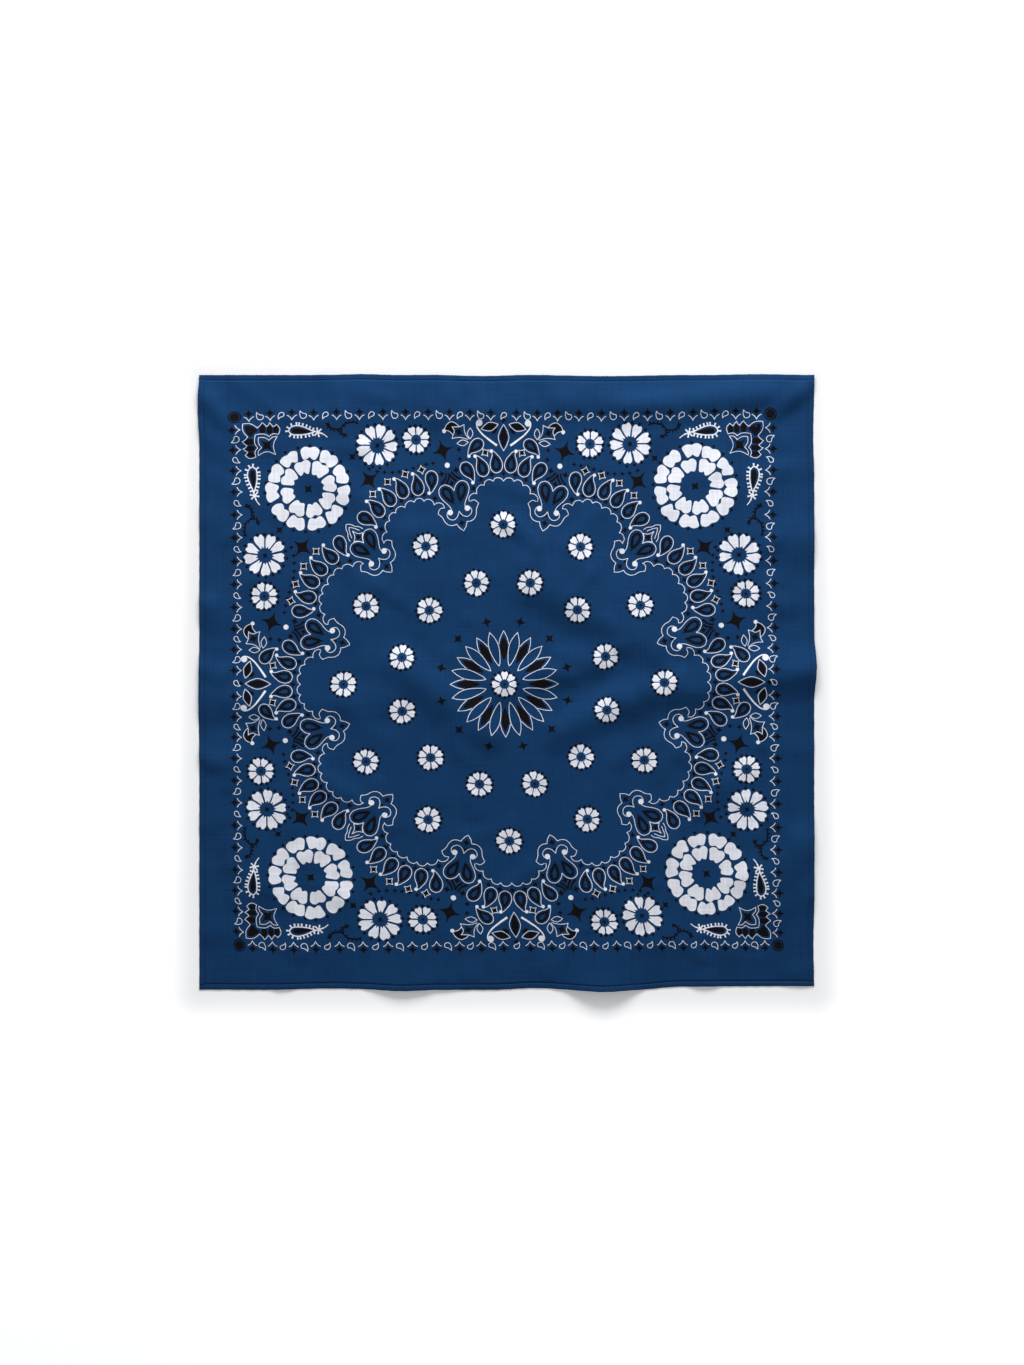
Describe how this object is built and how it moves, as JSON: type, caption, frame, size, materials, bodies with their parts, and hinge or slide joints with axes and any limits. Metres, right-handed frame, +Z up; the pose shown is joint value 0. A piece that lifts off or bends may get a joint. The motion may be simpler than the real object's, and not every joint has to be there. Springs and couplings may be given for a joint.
{
  "type": "bandana laid flat",
  "caption": "Square printed cotton bandana laid flat on a surface, with narrow turned hems and a few soft folds standing up from it.",
  "frame": {"origin": "under the middle of the cloth, on the surface that it lies on", "axes": "+Z up off the surface, +X to the right side and +Y to the top side of the cloth as the print is read"},
  "size_m": [0.5628, 0.5612, 0.0094],
  "materials": {
    "printed_cotton": "navy blue plain-weave cotton, matt, crisp",
    "hem_cotton": "the same navy cotton turned under, slightly darker along the stitching",
    "white_ink": "white pigment print on the weave, matt",
    "black_ink": "warm black pigment print on the weave, matt",
    "hem_thread": "navy cotton sewing thread"
  },
  "bodies": {
    "root": {"cloth_panel": "printed_cotton", "hem_top": "hem_cotton", "hem_bottom": "hem_cotton", "hem_left": "hem_cotton", "hem_right": "hem_cotton"}
  },
  "joints": []
}
